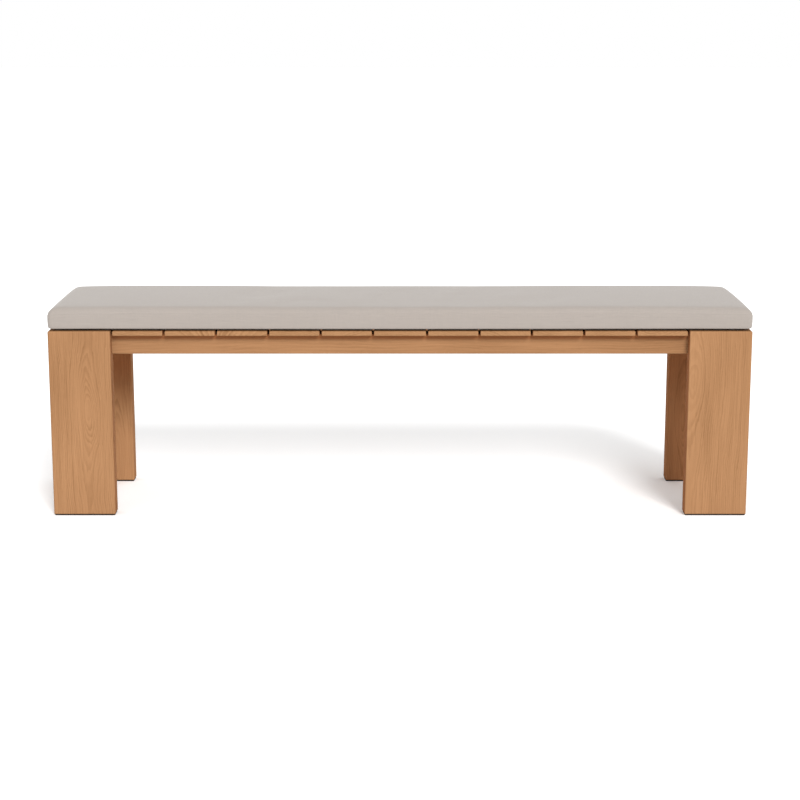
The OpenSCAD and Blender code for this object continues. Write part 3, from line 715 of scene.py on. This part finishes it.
def make_case():
    P = shaped(fine["verts"], fine["inset"])
    N = vertex_normals(P, fine["quads"])
    moved = np.zeros(len(P))
    cp, cq, out, tree = cloth_set()
    moved = carried(tree, cp, cq, out, P)
    moved = smooth_over(moved, fine["quads"], 6)
    print("carried: std %.2f mm, range %.2f to %.2f" % (moved.std(), moved.min(), moved.max()))
    free = ease(P[:, 2], 0.5, 6.0)
    near_corner = np.exp(-((CX - np.abs(P[:, 0])) / 60.0) ** 2) * np.exp(-((CY - np.abs(P[:, 1])) / 60.0) ** 2)
    near_end = np.exp(-((CX - np.abs(P[:, 0])) / 70.0) ** 2)
    P = P + N * (np.clip(moved, -1.6, 1.6) * 0.6 * free * (1.0 - 0.8 * near_corner) * (1.0 - 0.6 * near_end))[:, None]
    P[:, 2] += slow_waves(P, 0.3, 21, (190.0, 330.0)) * ease(fine["verts"][:, 2], 39.0, 51.0)
    # seams: a fine groove with a small roll of fabric on each side
    s = fine["seam"]
    ripple = 1.0 + 0.25 * np.sin(P[:, 0] * 0.41 + 1.3 * np.sin(P[:, 0] * 0.083)) * np.cos(P[:, 1] * 0.37)
    roll = -0.34 * np.exp(-(s / 0.55) ** 2) + 0.10 * np.exp(-((s - 1.9) / 1.1) ** 2) * ripple
    P = P + N * roll[:, None]
    P[:, 2] = np.maximum(P[:, 2], 0.0)
    quads, panel, flat = list(fine["quads"]), list(fine["panel"]), list(fine["flat"])
    seam = list(fine["seam"])
    # the zip's opening in the back border: points of one ring part into two lips, and a channel runs in behind them
    around, nx, ny = fine["around"], fine["nx"], fine["ny"]
    k_zip = next(k for k, r in enumerate(fine["rows"]) if r[2] == 1 and abs(r[1] - ZIP_Z) < 1e-6)
    cols = [c for c in range(nx + ny, 2 * nx + ny + 1) if abs(fine["verts"][k_zip * around + c, 0]) < ZIP_END - 0.3]
    open_by = {c: math.sin(0.5 * math.pi * min(1.0, (ZIP_END - abs(fine["verts"][k_zip * around + c, 0])) / 15.0)) for c in cols}
    lo_k, hi_k = fine["under"] - 1, fine["under"] + fine["border"]
    z_lo, z_hi = fine["rows"][lo_k][1], fine["rows"][hi_k][1]
    for c in cols:
        gape = 6.2 * open_by[c]
        for k in range(lo_k + 1, hi_k):
            if k == k_zip:
                continue
            z = P[k * around + c, 2]
            d = fine["rows"][k][1] - ZIP_Z
            span = (z_hi - ZIP_Z) if d > 0 else (ZIP_Z - z_lo)
            P[k * around + c, 2] = z + math.copysign(gape * (1 - abs(d) / span), d)
            P[k * around + c, 1] += 0.35 * open_by[c] * math.exp(-((abs(d) * (1 - gape / span) - 3.0) / 3.0) ** 2)
    P = list(map(tuple, P))
    section = [(0.0, 6.2), (0.3, 5.65), (0.9, 5.2), (1.9, 4.97), (4.0, 4.9), (7.0, 4.9), (11.4, 4.9), (11.4, 2.4), (11.4, 0.0)]
    channel = {}
    twin = {}
    for c in cols:
        base = P[k_zip * around + c]
        e = open_by[c]
        up, down = [], []
        for n, (deep, half) in enumerate(section):
            if n == 0:
                P[k_zip * around + c] = (base[0], base[1], base[2] - half * e)
                down.append(k_zip * around + c)
                up.append(len(P))
                P.append((base[0], base[1], base[2] + half * e))
                seam.append(9.0)
                twin[k_zip * around + c] = up[0]
            elif n == len(section) - 1:
                up.append(len(P))
                down.append(len(P))
                P.append((base[0], base[1] - deep * e, base[2]))
                seam.append(9.0)
            else:
                for side, sgn in ((up, 1), (down, -1)):
                    side.append(len(P))
                    P.append((base[0], base[1] - deep * e, base[2] + sgn * half * e))
                    seam.append(9.0)
        channel[c] = (up, down)
    # the quads above the slit take the upper lip
    for i in range(len(quads)):
        q = quads[i]
        if panel[i] == 1 and q[0] // around == k_zip:
            quads[i] = tuple(twin.get(v, v) for v in q)
    reach = [0.0]
    for (d0, h0), (d1, h1) in zip(section, section[1:]):
        reach.append(reach[-1] + math.hypot(d1 - d0, h1 - h0))

    def strip(left, right, xl, xr, turned):
        for n in range(len(section) - 1):
            q = (left[n], right[n], right[n + 1], left[n + 1])
            f = ((xl, 200 + reach[n]), (xr, 200 + reach[n]), (xr, 200 + reach[n + 1]), (xl, 200 + reach[n + 1]))
            if turned:
                q, f = q[::-1], f[::-1]
            keep = [(a, b) for m, (a, b) in enumerate(zip(q, f)) if a not in q[:m]]
            if len(keep) >= 3:
                quads.append(tuple(a for a, b in keep))
                flat.append(tuple(b for a, b in keep))
                panel.append(3)

    ends = (cols[0] - 1, cols[-1] + 1)
    for c0, c1 in zip([ends[0]] + cols, cols + [ends[1]]):
        for which in (0, 1):
            L = channel[c0][which] if c0 in channel else [k_zip * around + c0] * len(section)
            R = channel[c1][which] if c1 in channel else [k_zip * around + c1] * len(section)
            strip(L, R, P[k_zip * around + c0][0], P[k_zip * around + c1][0], which == 1)
    P = np.array(P)
    P[:, 2] += BASE
    o = mesh_piece("cushion_case", P, quads, flat, floats={"seam": np.array(seam)})
    bm = bmesh.new()
    bm.from_mesh(o.data)
    bmesh.ops.recalc_face_normals(bm, faces=bm.faces)
    open_edges = sum(1 for e in bm.edges if len(e.link_faces) != 2)
    print("case: %d points, %d faces, %d open edges, volume %.4f" % (len(bm.verts), len(bm.faces), open_edges, bm.calc_volume()))
    bm.to_mesh(o.data)
    bm.free()
    return o


def make_foam():
    """The filling: the case's shape, drawn in by the fabric's thickness, with a groove behind the zip."""
    f = ring_set([3.0, 8, 16, 33, 60], [8.3, 11.8, 16.0, 20.4, ZIP_Z, 30.6, 34.1, 37.3], [0.6, 2.4, 6.2, 11.5, 21, 39, 60],
                 [0, 4, 8, 14, 24, 43], np.linspace(-(CX - 43), CX - 43, 80)[1:-1], np.linspace(-(CY - 43), CY - 43, 17)[1:-1])
    P = shaped(f["verts"], f["inset"])
    N = vertex_normals(P, f["quads"])
    P = P - N * 2.6
    at_zip = np.exp(-(((f["verts"][:, 2] - ZIP_Z) / 9.0) ** 4)) * (f["verts"][:, 1] > CY - 4) * (np.abs(P[:, 0]) < ZIP_END + 14)
    P[:, 1] -= 11.0 * at_zip
    P[:, 2] += BASE
    return mesh_piece("cushion_foam", P, f["quads"])


def box_mesh(verts, faces, lo, hi, cut=0.0):
    """Adds one box, with its corners in X and Z cut by a small chamfer, to lists of points and faces."""
    x0, y0, z0 = lo
    x1, y1, z1 = hi
    n = len(verts)
    for y in (y0, y1):
        c = cut if cut else 0.0
        ring = [(x0 + c, z0), (x1 - c, z0), (x1, z0 + c), (x1, z1 - c), (x1 - c, z1), (x0 + c, z1), (x0, z1 - c), (x0, z0 + c)]
        verts += [(a, y, b) for a, b in ring]
    faces.append(tuple(range(n, n + 8)))
    faces.append(tuple(range(n + 15, n + 7, -1)))
    for i in range(8):
        j = (i + 1) % 8
        faces.append((n + i, n + 8 + i, n + 8 + j, n + j))


def zip_tape(name, node, up):
    """A woven tape with a rounded cord along the side that holds the teeth."""
    lo, hi = (np.array(v) * 1000.0 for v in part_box(node))
    inner = lo[2] if up > 0 else hi[2]
    mid_y = (lo[1] + hi[1]) / 2
    # section in (height away from the teeth, y)
    sec = [(0.0, 0.15), (0.12, 0.55), (0.5, 0.78), (1.0, 0.72), (1.4, 0.42), (1.7, 0.34), (4.0, 0.33), (8.0, 0.33), (11.6, 0.33), (12.0, 0.2)]
    ring = sec + [(a, -b) for a, b in sec[::-1]]
    # the tapes run on past the last tooth, and there they are drawn together, one over the other
    teeth_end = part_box("zipper_teeth_upper")[1].x * 1000.0
    xs = np.linspace(-ZIP_END + 1.0, ZIP_END - 1.0, 241)
    verts, faces, flat = [], [], []
    for x in xs:
        wave = 0.07 * math.sin(x * 0.11) + 0.05 * math.sin(x * 0.043 + 1.0)
        t = min(1.0, max(0.0, abs(x) - teeth_end - 1.0) / 16.0)
        t = t * t * (3 - 2 * t)
        for a, b in ring:
            y = b * (1 - 0.35 * t) + 0.6 * up * t * math.exp(-a / 5.0)
            verts.append((x, mid_y + y + wave * min(1.0, a / 6.0), inner + up * (a - 3.6 * t)))
    m = len(ring)
    run = np.concatenate([[0], np.cumsum([math.hypot(ring[i + 1][0] - ring[i][0], ring[i + 1][1] - ring[i][1]) for i in range(m - 1)])])
    for i in range(len(xs) - 1):
        for k in range(m):
            l = (k + 1) % m
            q = (i * m + k, (i + 1) * m + k, (i + 1) * m + l, i * m + l)
            r1 = run[l] if l else run[-1] + 0.3
            f = ((xs[i], run[k]), (xs[i + 1], run[k]), (xs[i + 1], r1), (xs[i], r1))
            faces.append(q if up < 0 else q[::-1])
            flat.append(f if up < 0 else f[::-1])
    faces.append(tuple(range(m)) if up > 0 else tuple(range(m))[::-1])
    flat.append(tuple((0.0, 0.0) for _ in range(m)))
    last = (len(xs) - 1) * m
    faces.append(tuple(range(last + m - 1, last - 1, -1)) if up > 0 else tuple(range(last, last + m)))
    flat.append(tuple((0.0, 0.0) for _ in range(m)))
    return mesh_piece(name, verts, faces, flat, smooth=True)


def zip_teeth(name, node, up):
    """One row of moulded teeth, 2.5 mm apart, with a stop at each end. The other row stands half a pitch along."""
    lo, hi = (np.array(v) * 1000.0 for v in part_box(node))
    mid_y, root = (lo[1] + hi[1]) / 2, (hi[2] if up > 0 else lo[2])
    zip_line = root - up * (hi[2] - lo[2]) - up * 0.6
    pitch = 2.5
    start = lo[0] + 2.4 + (0.0 if up > 0 else pitch / 2)
    verts, faces = [], []

    def tooth(x):
        # foot that grips the cord, neck, and a wider head that reaches past its neighbours
        for (w, t, a, b) in ((1.5, 0.92, 1.7, 3.2), (0.95, 0.72, 1.0, 1.75), (1.35, 0.90, 0.38, 1.05)):
            z0, z1 = sorted((zip_line + up * a, zip_line + up * b))
            box_mesh(verts, faces, (x - w / 2, mid_y - t, z0), (x + w / 2, mid_y + t, z1), 0.22)

    x = start
    while x < hi[0] - 2.0:
        tooth(x)
        x += pitch
    for e in (lo[0] + 0.2, hi[0] - 1.8):
        z0, z1 = sorted((zip_line + up * 0.42, zip_line + up * 3.0))
        box_mesh(verts, faces, (e, mid_y - 0.98, z0), (e + 1.6, mid_y + 0.98, z1), 0.3)
    return mesh_piece(name, verts, faces, smooth=False)


def topstitch(name):
    """Two rows of stitches beside the zip's lips: each stitch is a short bowed thread that dips at its ends."""
    verts, faces = [], []
    rng = np.random.default_rng(5)
    length, gap, r = 2.9, 0.7, 0.24
    for up in (1, -1):
        x = -(ZIP_END + 4.0)
        while x < ZIP_END + 4.0:
            e = math.sin(0.5 * math.pi * min(1.0, max(0.0, (ZIP_END - abs(x)) / 15.0)))
            height = ZIP_Z + up * (3.4 + 5.9 * e) + rng.uniform(-0.06, 0.06)
            ring0 = len(verts)
            for k in range(6):
                t = k / 5.0
                bow = math.sin(math.pi * t)
                rad = r * (0.55 + 0.45 * bow)
                px = x + length * t
                py, pz = back_face(px, height)
                for a in range(6):
                    th = a * math.pi / 3
                    verts.append((px, py - 0.12 + 0.20 * bow + rad * math.sin(th), BASE + pz + rad * math.cos(th)))
            for k in range(5):
                for a in range(6):
                    b = (a + 1) % 6
                    faces.append((ring0 + k * 6 + a, ring0 + k * 6 + b, ring0 + (k + 1) * 6 + b, ring0 + (k + 1) * 6 + a))
            faces.append(tuple(ring0 + a for a in range(5, -1, -1)))
            faces.append(tuple(ring0 + 30 + a for a in range(6)))
            x += length + gap
    return mesh_piece(name, verts, faces)


case = make_case()
foam_block = make_foam()
case_tree = BVHTree.FromPolygons([v.co[:] for v in case.data.vertices], [p.vertices[:] for p in case.data.polygons])


def back_face(x, height):
    """Where the back border's surface is, at a place along it and a height above the case's bottom, in millimetres."""
    hit, _, _, _ = case_tree.ray_cast(Vector((x / 1000, 0.25, (BASE + height) / 1000)), Vector((0, -1, 0)))
    return ((hit.y * 1000.0) if hit else CY, height)


stitches = topstitch("zip_topstitch")
tape_up = zip_tape("zip_tape_upper_cloth", "zipper_tape_upper", 1)
tape_low = zip_tape("zip_tape_lower_cloth", "zipper_tape_lower", -1)
teeth_up = zip_teeth("zip_teeth_upper_row", "zipper_teeth_upper", 1)
teeth_low = zip_teeth("zip_teeth_lower_row", "zipper_teeth_lower", -1)


def fabric(name, base, pitch=1.15, sheen=0.268, sheen_rough=0.45, slub=1.0, bump=0.35):
    """Plain woven cloth. The UV map is the panel laid flat, in metres, so the yarns run true and keep their width."""
    m, g, b = material(name)
    uvn = g.node("ShaderNodeUVMap", uv_map="weave")
    u, v, _ = g.split(uvn.outputs[0])
    U0 = g.math("MULTIPLY", u, 1000.0 / pitch)
    V0 = g.math("MULTIPLY", v, 1000.0 / pitch)
    # yarns wander a little from straight
    flat = g.join(U0, V0, 0.0)
    U = g.math("ADD", U0, g.math("MULTIPLY", g.math("SUBTRACT", g.noise(flat, (0.02, 0.05, 1), 1.0, 1.0), 0.5), 1.6))
    V = g.math("ADD", V0, g.math("MULTIPLY", g.math("SUBTRACT", g.noise(flat, (0.05, 0.02, 1), 2.0, 1.0), 0.5), 1.6))
    iu, iv = g.math("FLOOR", U), g.math("FLOOR", V)
    hu = g.math("SINE", g.math("MULTIPLY", g.math("FRACT", U), math.pi))
    hv = g.math("SINE", g.math("MULTIPLY", g.math("FRACT", V), math.pi))
    over = g.math("MULTIPLY", g.math("FRACT", g.math("MULTIPLY", g.math("ADD", iu, iv), 0.5)), 2.0)     # 0 or 1: which yarn is on top
    warp_h = g.math("MULTIPLY", hu, g.math("ADD", 0.5, g.math("MULTIPLY", hv, 0.5)))
    weft_h = g.math("MULTIPLY", hv, g.math("ADD", 0.5, g.math("MULTIPLY", hu, 0.5)))
    high = g.math("ADD", g.math("MULTIPLY", warp_h, g.math("SUBTRACT", 1.0, over)), g.math("MULTIPLY", weft_h, over))
    # each yarn has its own shade along its length
    warp = g.noise(g.join(g.math("MULTIPLY", iu, 3.71), g.math("MULTIPLY", V, 0.03), 0.0), (1, 1, 1), 7.0, 1.0)
    weft = g.noise(g.join(g.math("MULTIPLY", U, 0.03), g.math("MULTIPLY", iv, 3.13), 0.0), (1, 1, 1), 8.0, 1.0)
    shade = g.math("ADD", g.math("MULTIPLY", warp, g.math("SUBTRACT", 1.0, over)), g.math("MULTIPLY", weft, over))
    # thicker places in the long yarns show as faint dashes
    dash = g.noise(flat, (0.022, 0.40, 1), 17.0, 1.0, 0.4)
    dash = g.math("SUBTRACT", g.span(dash, 0.60, 0.76), g.math("MULTIPLY", g.span(dash, 0.40, 0.24), 0.8))
    cloudy = g.noise(g.join(u, v, 0.0), (9.0, 22.0, 1), 23.0, 2.0)
    fuzz = g.noise(flat, (1.7, 1.7, 1), 29.0, 2.0)
    seam = g.node("ShaderNodeAttribute", attribute_name="seam").outputs["Fac"]
    # painted shade: the cloth is up to 7% darker next to the seams
    painted_seam_shade = g.span(seam, 0.0, 0.7, 0.93, 1.0)
    # painted shade in the weave: yarn crests lighter, the hollows between them darker
    tone = g.math("ADD", 0.925, g.math("MULTIPLY", high, 0.12))
    tone = g.math("ADD", tone, g.math("MULTIPLY", g.math("SUBTRACT", shade, 0.5), 0.22))
    tone = g.math("ADD", tone, g.math("MULTIPLY", dash, 0.06 * slub))
    tone = g.math("ADD", tone, g.math("MULTIPLY", g.math("SUBTRACT", cloudy, 0.5), 0.045))
    tone = g.math("ADD", tone, g.math("MULTIPLY", g.math("SUBTRACT", fuzz, 0.5), 0.10))
    tone = g.math("MULTIPLY", tone, painted_seam_shade)
    warm = g.blend(shade, base, tuple(c * k for c, k in zip(base, (1.02, 0.985, 0.955))))
    g.feed(b.inputs["Base Color"], g.tint(warm, tone))
    g.feed(b.inputs["Roughness"], g.span(fuzz, 0.2, 0.8, 0.86, 0.98, "LINEAR"))
    swell = g.math("MULTIPLY", g.span(seam, 5.0, 0.6), g.noise(flat, (0.16, 0.30, 1), 31.0, 1.0))
    h = g.math("ADD", g.math("MULTIPLY", high, 1.0), g.math("MULTIPLY", dash, 0.35 * slub))
    h = g.math("ADD", h, g.math("MULTIPLY", swell, 2.0))
    g.feed(b.inputs["Normal"], g.bump(h, bump, 0.00022))
    b.inputs["Specular IOR Level"].default_value = 0.12
    b.inputs["Sheen Weight"].default_value = sheen
    b.inputs["Sheen Roughness"].default_value = sheen_rough
    b.inputs["Sheen Tint"].default_value = (1.0, 1.0, 1.0, 1.0)
    return m


case_cloth = fabric("case_fabric", (0.2665, 0.2403, 0.2193))
tape_cloth = fabric("zip_tape_fabric", (0.245, 0.215, 0.192), pitch=0.55, sheen=0.2, slub=0.3)
for o in (case,):
    o.data.materials.append(case_cloth)
for o in (tape_up, tape_low):
    o.data.materials.append(tape_cloth)
thread, g, b = material("zip_thread")
at = g.node("ShaderNodeTexCoord").outputs["Object"]
n = g.noise(at, (1500, 4200, 4200), 3.0, 2.0)
g.feed(b.inputs["Base Color"], g.blend(n, (0.36, 0.33, 0.30), (0.24, 0.215, 0.195)))
g.feed(b.inputs["Roughness"], g.span(n, 0.3, 0.7, 0.55, 0.75))
g.feed(b.inputs["Normal"], g.bump(n, 0.4, 0.00006))
stitches.data.materials.append(thread)
tooth_plastic = plastic("zip_teeth_plastic", (0.20, 0.178, 0.16), 0.42, 2600)
for o in (teeth_up, teeth_low):
    o.data.materials.append(tooth_plastic)
m_foam, g, b = material("foam_open_cell")
at = g.node("ShaderNodeTexCoord").outputs["Object"]
cell = g.node("ShaderNodeTexVoronoi", feature="F1")
g.feed(cell.inputs["Vector"], at)
cell.inputs["Scale"].default_value = 900.0
pores = g.span(cell.outputs["Distance"], 0.1, 0.7)
blot = g.noise(at, (14, 14, 14), 4.0, 3.0)
g.feed(b.inputs["Base Color"], g.blend(blot, (0.70, 0.64, 0.47), (0.60, 0.52, 0.34)))
g.feed(b.inputs["Roughness"], g.span(pores, 0.0, 1.0, 0.95, 0.85))
g.feed(b.inputs["Normal"], g.bump(pores, 0.6, 0.0004))
foam_block.data.materials.append(m_foam)

for piece, cad, slot in ((case, ("cushion_cover",), "cushion_fabric"), (foam_block, ("cushion_core",), "foam"),
                         (tape_up, ("zipper_tape_upper",), "zip_tape"), (tape_low, ("zipper_tape_lower",), "zip_tape"),
                         (teeth_up, ("zipper_teeth_upper",), "zip_plastic"), (teeth_low, ("zipper_teeth_lower",), "zip_plastic"),
                         (stitches, (), "cushion_fabric")):
    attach(piece, "cushion")
    if cad:
        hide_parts(*cad)

# ------------------------------------------------------------------ floor and light
bpy.ops.mesh.primitive_plane_add(size=60, location=(0, 0, -0.0002))
floor = bpy.context.object
floor.name = "floor"
m_floor, g, b = material("floor_white")
b.inputs["Base Color"].default_value = (0.92, 0.92, 0.92, 1.0)
b.inputs["Roughness"].default_value = 1.0
b.inputs["Specular IOR Level"].default_value = 0.0
floor.data.materials.append(m_floor)

world = bpy.data.worlds.new("studio")
scene.world = world
world.use_nodes = True
world.node_tree.nodes["Background"].inputs["Color"].default_value = (1.0, 1.0, 1.0, 1.0)
world.node_tree.nodes["Background"].inputs["Strength"].default_value = 1.0


def sun(name, azimuth, elevation, spread, strength):
    """A broad soft lamp that is far off. Azimuth 0 shines from the front, and a positive one from the front right."""
    a, e = math.radians(azimuth), math.radians(elevation)
    d = Vector((math.sin(a) * math.cos(e), -math.cos(a) * math.cos(e), math.sin(e)))
    lamp = bpy.data.lights.new(name, "SUN")
    lamp.angle = math.radians(spread)
    lamp.energy = strength
    o = bpy.data.objects.new(name, lamp)
    o.rotation_mode = "QUATERNION"
    o.rotation_quaternion = d.to_track_quat("Z", "Y")
    o.location = d * 3.0
    scene.collection.objects.link(o)
    return o


key = sun("key_light", 16.0, 31.5, 20.0, 3.09)
